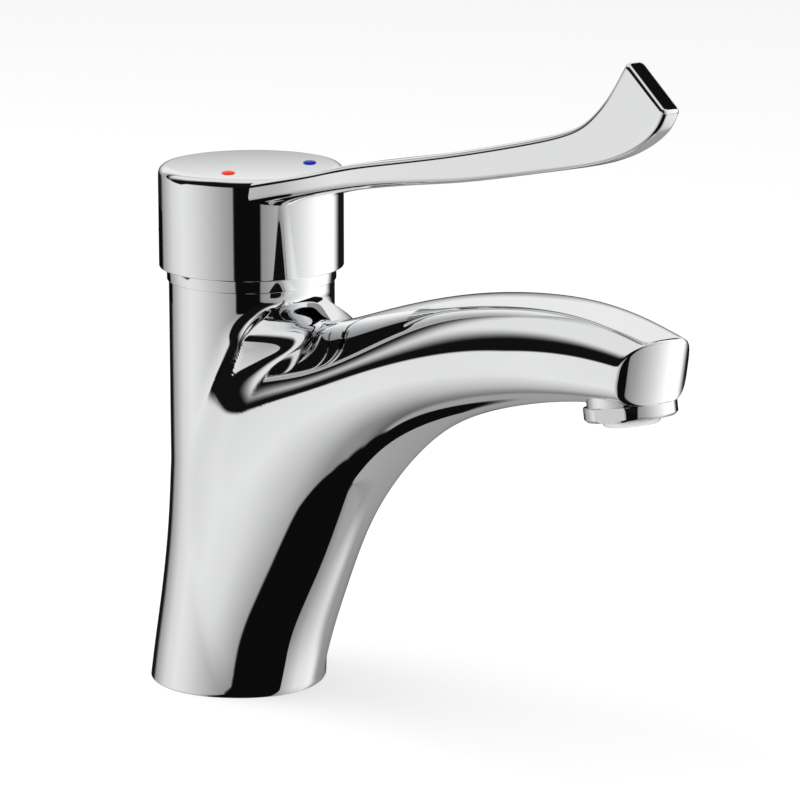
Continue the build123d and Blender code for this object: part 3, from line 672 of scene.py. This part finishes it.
def finish(name, colour, deep, rough, span, bump, cloudScale, grainScale=900, metal=0.0, coat=0.0,
           specular=0.5):
    # a Principled surface whose colour runs from deep to colour with the cloud, whose roughness
    # is rough + span * cloud, and whose bump is the grain
    material = bpy.data.materials.new(name)
    material.use_nodes = True
    nodes, links = material.node_tree.nodes, material.node_tree.links
    shader = nodes["Principled BSDF"]
    group = nodes.new("ShaderNodeGroup")
    group.node_tree = wear
    group.inputs["Cloud Scale"].default_value = cloudScale
    group.inputs["Grain Scale"].default_value = grainScale
    ramp = nodes.new("ShaderNodeValToRGB")
    ramp.color_ramp.elements[0].position = 0.3
    ramp.color_ramp.elements[0].color = (*deep, 1)
    ramp.color_ramp.elements[1].position = 0.7
    ramp.color_ramp.elements[1].color = (*colour, 1)
    links.new(group.outputs["Cloud"], ramp.inputs["Fac"])
    links.new(ramp.outputs["Color"], shader.inputs["Base Color"])
    reach = nodes.new("ShaderNodeMapRange")
    reach.inputs["To Min"].default_value = rough
    reach.inputs["To Max"].default_value = rough + span
    links.new(group.outputs["Cloud"], reach.inputs["Value"])
    links.new(reach.outputs["Result"], shader.inputs["Roughness"])
    relief = nodes.new("ShaderNodeBump")
    relief.inputs["Strength"].default_value = 1.0
    relief.inputs["Distance"].default_value = bump
    links.new(group.outputs["Grain"], relief.inputs["Height"])
    links.new(relief.outputs["Normal"], shader.inputs["Normal"])
    shader.inputs["Metallic"].default_value = metal
    shader.inputs["Coat Weight"].default_value = coat
    shader.inputs["Coat Roughness"].default_value = 0.04
    shader.inputs["Specular IOR Level"].default_value = specular
    return material


# deep and colour are the two ends of the colour, span is what the cloud adds to rough, bump in metres
finishPlan = {
    "chrome": {"name": "polishedChrome", "colour": (0.86, 0.865, 0.87), "deep": (0.845, 0.85, 0.86),
               "metal": 1.0, "rough": 0.015, "span": 0.02, "bump": 0.0000002, "cloudScale": 25,
               "grainScale": 160},
    "chrome_plug": {"name": "chromedPlug", "colour": (0.84, 0.845, 0.85), "deep": (0.80, 0.81, 0.82),
                    "metal": 1.0, "rough": 0.05, "span": 0.05, "bump": 0.000001, "cloudScale": 60},
    "brass": {"name": "turnedBrass", "colour": (0.80, 0.63, 0.34), "deep": (0.72, 0.55, 0.28),
              "metal": 1.0, "rough": 0.22, "span": 0.14, "bump": 0.000012, "cloudScale": 90,
              "grainScale": 1600},
    "steel": {"name": "groundSteel", "colour": (0.64, 0.65, 0.66), "deep": (0.55, 0.56, 0.58),
              "metal": 1.0, "rough": 0.24, "span": 0.14, "bump": 0.000010, "cloudScale": 110,
              "grainScale": 1800},
    "white_plastic": {"name": "whiteAcetal", "colour": (0.87, 0.87, 0.85), "deep": (0.82, 0.82, 0.79),
                      "rough": 0.34, "span": 0.12, "bump": 0.000010, "cloudScale": 60, "grainScale": 1400},
    "grey_plastic": {"name": "greyNylon", "colour": (0.43, 0.44, 0.46), "deep": (0.37, 0.38, 0.40),
                     "rough": 0.38, "span": 0.14, "bump": 0.000012, "cloudScale": 60, "grainScale": 1400},
    "outlet_plastic": {"name": "outletPlastic", "colour": (0.78, 0.79, 0.80), "deep": (0.72, 0.73, 0.75),
                       "rough": 0.16, "span": 0.10, "bump": 0.000006, "cloudScale": 70, "grainScale": 1200,
                       "coat": 0.4},
    "ceramic": {"name": "lappedCeramic", "colour": (0.93, 0.92, 0.89), "deep": (0.89, 0.88, 0.84),
                "rough": 0.12, "span": 0.08, "bump": 0.000004, "cloudScale": 80, "grainScale": 1500,
                "coat": 0.3},
    "rubber": {"name": "sealRubber", "colour": (0.05, 0.05, 0.052), "deep": (0.032, 0.032, 0.034),
               "rough": 0.55, "span": 0.15, "bump": 0.000020, "cloudScale": 90, "grainScale": 1300},
    "red_plastic": {"name": "redEnamel", "colour": (0.80, 0.05, 0.015), "deep": (0.66, 0.03, 0.01),
                    "rough": 0.20, "span": 0.06, "bump": 0.000004, "cloudScale": 300, "grainScale": 2500,
                    "specular": 0.12},
    "blue_plastic": {"name": "blueEnamel", "colour": (0.015, 0.03, 0.32), "deep": (0.01, 0.02, 0.24),
                     "rough": 0.20, "span": 0.06, "bump": 0.000004, "cloudScale": 300, "grainScale": 2500,
                     "specular": 0.12},
}
finishes = {slotName: finish(**plan) for slotName, plan in finishPlan.items()}


slotOf = {row["node"]: row["material_slot"] for row in frame["record"]["subparts"]}
for node, model in frame["nodes"].items():
    for holder in model.material_slots:
        holder.material = finishes[slotOf[node]]
    if not model.material_slots:
        model.data.materials.append(finishes[slotOf[node]])
print("finishes made")


def dress(piece, body, node, slotName):
    # gives the piece its finish, the body it rides on and the CAD node that it stands for
    piece.data.materials.clear()
    piece.data.materials.append(finishes[slotName])
    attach(piece, body)
    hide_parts(node)


dress(buildCasting(), "body", "tap_body", "chrome")
dress(buildRing(), "body", "neck_ring", "chrome")
dress(buildHandle(), "handle", "lever_handle", "chrome")
dress(buildStud("hotStud", -1), "handle", "hot_marker", "red_plastic")
dress(buildStud("coldStud", 1), "handle", "cold_marker", "blue_plastic")
housingPiece, insertPiece = buildAerator()
dress(housingPiece, "body", "aerator_housing", "chrome")
dress(insertPiece, "body", "aerator_insert", "outlet_plastic")
print("pieces dressed")


# floor, studio and camera

studio = {
    "azimuth": 52.0, "elevation": 13.0, "distance": 1.030, "lens": 180.0, "sensor": 36.0,
    "target": (0.03012, 0.03024, 0.0747), "clip": (0.05, 20),
    # the floor: half its side in metres, its grey, and how much of its own light the camera sees
    "floorSize": 3.0, "floorGrey": (0.93, 0.93, 0.93, 1), "floorGlow": 0.6,
    # the dark card behind the tap on the left: metres from the tap, turns and heights of its edges
    "cardReach": 0.30, "cardTurns": (-178, -165, -152, -139), "cardHeights": (0.040, 0.073),
    "cardGrey": (0.003, 0.003, 0.003, 1),
    # lamps: place, side in metres and power, all turned to one spot
    "lamps": {"overheadLamp": ((0.1, -0.3, 1.2), 0.9, 9), "sideLamp": ((-0.9, -0.6, 0.8), 0.8, 5)},
    "lampAim": (0.05, 0, 0.08),
}


def stagePiece(name, points, faces, material):
    # one plain object of the stage
    mesh = bpy.data.meshes.new(name)
    mesh.from_pydata(points, [], faces)
    mesh.materials.append(material)
    piece = bpy.data.objects.new(name, mesh)
    bpy.context.collection.objects.link(piece)
    return piece


def buildFloor():
    # matt paper with a glow for what the camera, gloss and glass see; the metal doesn't reflect it
    material = bpy.data.materials.new("palePaper")
    material.use_nodes = True
    nodes, links = material.node_tree.nodes, material.node_tree.links
    nodes.clear()
    matt, glow = nodes.new("ShaderNodeBsdfDiffuse"), nodes.new("ShaderNodeEmission")
    blend, leave = nodes.new("ShaderNodeMixShader"), nodes.new("ShaderNodeOutputMaterial")
    matt.inputs["Color"].default_value = studio["floorGrey"]
    path = nodes.new("ShaderNodeLightPath")
    seen = path.outputs["Is Camera Ray"]
    for ray in ("Is Glossy Ray", "Is Transmission Ray"):
        either = nodes.new("ShaderNodeMath")
        either.operation = "MAXIMUM"
        links.new(seen, either.inputs[0])
        links.new(path.outputs[ray], either.inputs[1])
        seen = either.outputs[0]
    share = nodes.new("ShaderNodeMath")
    share.operation = "MULTIPLY"
    share.inputs[1].default_value = studio["floorGlow"]
    links.new(seen, share.inputs[0])
    links.new(share.outputs[0], blend.inputs["Fac"])
    links.new(matt.outputs[0], blend.inputs[1])
    links.new(glow.outputs[0], blend.inputs[2])
    links.new(blend.outputs[0], leave.inputs["Surface"])
    side = studio["floorSize"]
    floor = stagePiece("paleFloor", [(-side, -side, 0), (side, -side, 0), (side, side, 0), (-side, side, 0)],
                       [(0, 1, 2, 3)], material)
    floor.visible_glossy = False


panelPlan = {
    # grey levels against the turn from the front, in degrees, at the height of the side panels
    "sides": [(-180, 0.40), (-134, 0.42), (-112, 0.78), (-92, 0.90), (-74, 0.80), (-54, 0.62),
              (-34, 0.44), (-21, 0.34), (-19.5, 0.004), (13, 0.004), (14.5, 0.30), (30, 0.42),
              (64, 0.82), (92, 1.2), (122, 1.2), (150, 0.5), (180, 0.40)],
    # how much of that is left against height
    "fall": [(-90, 0.30), (-62, 0.36), (-45, 0.72), (-25, 1.0), (5, 1.0), (90, 1.0)],
    # the height below which there is only the dark gap in front of the tap
    "lowEdge": [(-180, -36), (-165, -48), (-150, -68), (-120, -74), (-90, -72), (-75, -66), (-60, -52),
                (-45, -44), (-30, -38), (-19, -30), (-13, -16), (13, -16), (16, -30), (60, -38),
                (66, -88), (180, -88)],
    # the height at which the side panels end, and the height at which the ceiling begins
    "highEdge": [(-180, 60), (-136, 40), (-128, 3), (-108, -4), (-94, -6), (-84, 0), (-60, 4), (13, 4),
                 (20, 45), (30, 62), (96, 62), (110, 26), (140, 20), (155, 60), (180, 60)],
    "ceiling": [(-180, 61), (-136, 41), (-118, 10), (-92, 26), (-60, 56), (60, 60), (90, 74), (145, 74),
                (158, 61), (180, 61)],
    # behind the tap: dark near the horizon, paper above it
    "back": [(-90, 0.45), (-30, 0.34), (-19, 0.24), (-17, 0.01), (-4, 0.01), (2, 0.35), (14, 0.92),
             (90, 1.0)],
    "backMask": [(-180, 1), (-147, 1), (-137, 0), (128, 0), (142, 1), (180, 1)],
    # softness of an edge in degrees, and the levels of the gaps and of the ceiling
    "crisp": 1.5, "soft": 12, "upperGap": 0.006, "lowerGap": 0.004, "ceilingLevel": 0.86,
    # the brightest level that "sides" may hold, the grey that matt surfaces get, and the backdrop
    "brightest": 2.0, "plain": (0.75, 0.75, 0.75, 1), "backdrop": (1, 1, 1, 1),
}


def buildStudio():
    # what the metal sees, by turn about the tap and by height: side panels between two edges, a
    # dark gap under and over them, the ceiling, and the backdrop. Matt surfaces get a plain level
    world = bpy.data.worlds.new("studio")
    bpy.context.scene.world = world
    world.use_nodes = True
    nodes, links = world.node_tree.nodes, world.node_tree.links
    nodes.clear()

    def maths(operation, *values):
        node = nodes.new("ShaderNodeMath")
        node.operation = operation
        for socket, value in zip(node.inputs, values):
            if isinstance(value, (int, float)):
                socket.default_value = value
            else:
                links.new(value, socket)
        return node.outputs[0]

    def spread(value, low, high, smooth=False):
        node = nodes.new("ShaderNodeMapRange")
        node.interpolation_type = "SMOOTHSTEP" if smooth else "LINEAR"
        node.inputs["From Min"].default_value, node.inputs["From Max"].default_value = low, high
        links.new(value, node.inputs["Value"])
        return node.outputs["Result"]

    def ramp(value, stops, low, high, levelLow=0, levelHigh=1):
        # stops of (degrees, level) over low to high; levels are kept as shares of their own span
        node = nodes.new("ShaderNodeFloatCurve")
        curve = node.mapping.curves[0]
        span = [((degree - low) / (high - low), (level - levelLow) / (levelHigh - levelLow))
                for degree, level in stops]
        curve.points[0].location, curve.points[-1].location = span[0], span[-1]
        for spot in span[1:-1]:
            curve.points.new(*spot)
        for point in curve.points:
            point.handle_type = "VECTOR"
        node.mapping.update()
        links.new(value, node.inputs["Value"])
        return node.outputs["Value"]

    place = nodes.new("ShaderNodeTexCoord")
    azimuth = radians(studio["azimuth"])
    parts = []
    for direction in ((sin(azimuth), -cos(azimuth), 0), (cos(azimuth), sin(azimuth), 0), (0, 0, 1)):
        dot = nodes.new("ShaderNodeVectorMath")
        dot.operation = "DOT_PRODUCT"
        dot.inputs[1].default_value = direction
        links.new(place.outputs["Generated"], dot.inputs[0])
        parts.append(dot.outputs["Value"])
    turn = spread(maths("ARCTAN2", parts[1], parts[0]), -np.pi, np.pi)
    height = spread(maths("ARCSINE", parts[2]), -np.pi / 2, np.pi / 2)
    plan = panelPlan

    def overEdge(name, softness):
        # 0 below the edge, 1 above it, with softness in degrees on either side
        edge = ramp(turn, plan[name], -180, 180, -90, 90)
        return spread(maths("SUBTRACT", height, edge), -softness / 180, softness / 180, True)

    def mixed(mask, under, over):
        # under where the mask is 0, over where it is 1
        kept = maths("MULTIPLY", under, maths("SUBTRACT", 1.0, mask))
        return maths("ADD", kept, maths("MULTIPLY", over, mask))

    def overHeight(name):
        # the levels of a plan that runs over height, from -90 to 90 degrees
        return ramp(height, [((degree + 90) / 180, level) for degree, level in plan[name]], 0, 1)

    sides = ramp(turn, plan["sides"], -180, 180, 0, plan["brightest"])
    level = maths("MULTIPLY", maths("MULTIPLY", sides, plan["brightest"]), overHeight("fall"))
    level = mixed(ramp(turn, plan["backMask"], -180, 180), level, overHeight("back"))
    level = mixed(overEdge("highEdge", plan["crisp"]), level, plan["upperGap"])
    level = mixed(overEdge("ceiling", plan["soft"]), level, plan["ceilingLevel"])
    level = mixed(overEdge("lowEdge", plan["crisp"]), plan["lowerGap"], level)
    path = nodes.new("ShaderNodeLightPath")
    metal, plain, seen = (nodes.new("ShaderNodeBackground") for use in range(3))
    links.new(level, metal.inputs["Color"])
    plain.inputs["Color"].default_value = plan["plain"]
    seen.inputs["Color"].default_value = plan["backdrop"]
    glossy, camera = nodes.new("ShaderNodeMixShader"), nodes.new("ShaderNodeMixShader")
    links.new(path.outputs["Is Glossy Ray"], glossy.inputs["Fac"])
    links.new(plain.outputs[0], glossy.inputs[1])
    links.new(metal.outputs[0], glossy.inputs[2])
    links.new(path.outputs["Is Camera Ray"], camera.inputs["Fac"])
    links.new(glossy.outputs[0], camera.inputs[1])
    links.new(seen.outputs[0], camera.inputs[2])
    leave = nodes.new("ShaderNodeOutputWorld")
    links.new(camera.outputs[0], leave.inputs["Surface"])


def buildCard():
    # a dark card behind the tap on the left, which only shiny pieces reflect
    turn, reach = radians(studio["azimuth"]), studio["cardReach"]
    front, right = np.array([sin(turn), -cos(turn), 0]), np.array([cos(turn), sin(turn), 0])
    corners = [reach * (cos(radians(angle)) * front + sin(radians(angle)) * right)
               for angle in studio["cardTurns"]]
    points = [(*corner[:2], height) for height in studio["cardHeights"] for corner in corners]
    count = len(corners)
    material = bpy.data.materials.new("darkCloth")
    material.use_nodes = True
    shader = material.node_tree.nodes["Principled BSDF"]
    shader.inputs["Base Color"].default_value = studio["cardGrey"]
    shader.inputs["Specular IOR Level"].default_value = 0
    card = stagePiece("darkCard", points,
                      [(i, i + 1, i + 1 + count, i + count) for i in range(count - 1)], material)
    card.visible_camera = card.visible_diffuse = card.visible_shadow = False


def buildLamp(name, place, size, power):
    # a square area lamp that the metal doesn't show
    lamp = bpy.data.lights.new(name, "AREA")
    lamp.shape = "SQUARE"
    lamp.size = size
    lamp.energy = power
    holder = bpy.data.objects.new(name, lamp)
    bpy.context.collection.objects.link(holder)
    holder.location = place
    aim = Vector(studio["lampAim"]) - Vector(place)
    holder.rotation_euler = aim.to_track_quat("-Z", "Y").to_euler()
    holder.visible_glossy = False


def buildCamera():
    # stands at its distance from the target, back = (sin a cos e, -cos a cos e, sin e)
    lens = bpy.data.cameras.new("photoCamera")
    lens.lens, lens.sensor_width, lens.sensor_fit = studio["lens"], studio["sensor"], "HORIZONTAL"
    lens.clip_start, lens.clip_end = studio["clip"]
    camera = bpy.data.objects.new("photoCamera", lens)
    bpy.context.collection.objects.link(camera)
    turn, rise = radians(studio["azimuth"]), radians(studio["elevation"])
    back = Vector((sin(turn) * cos(rise), -cos(turn) * cos(rise), sin(rise)))
    camera.location = Vector(studio["target"]) + back * studio["distance"]
    camera.rotation_euler = back.to_track_quat("Z", "Y").to_euler()
    bpy.context.scene.camera = camera


buildFloor()
buildStudio()
buildCard()
for lampName, row in studio["lamps"].items():
    buildLamp(lampName, *row)
buildCamera()
bpy.context.scene.view_settings.view_transform = "Standard"
print("studio ready")
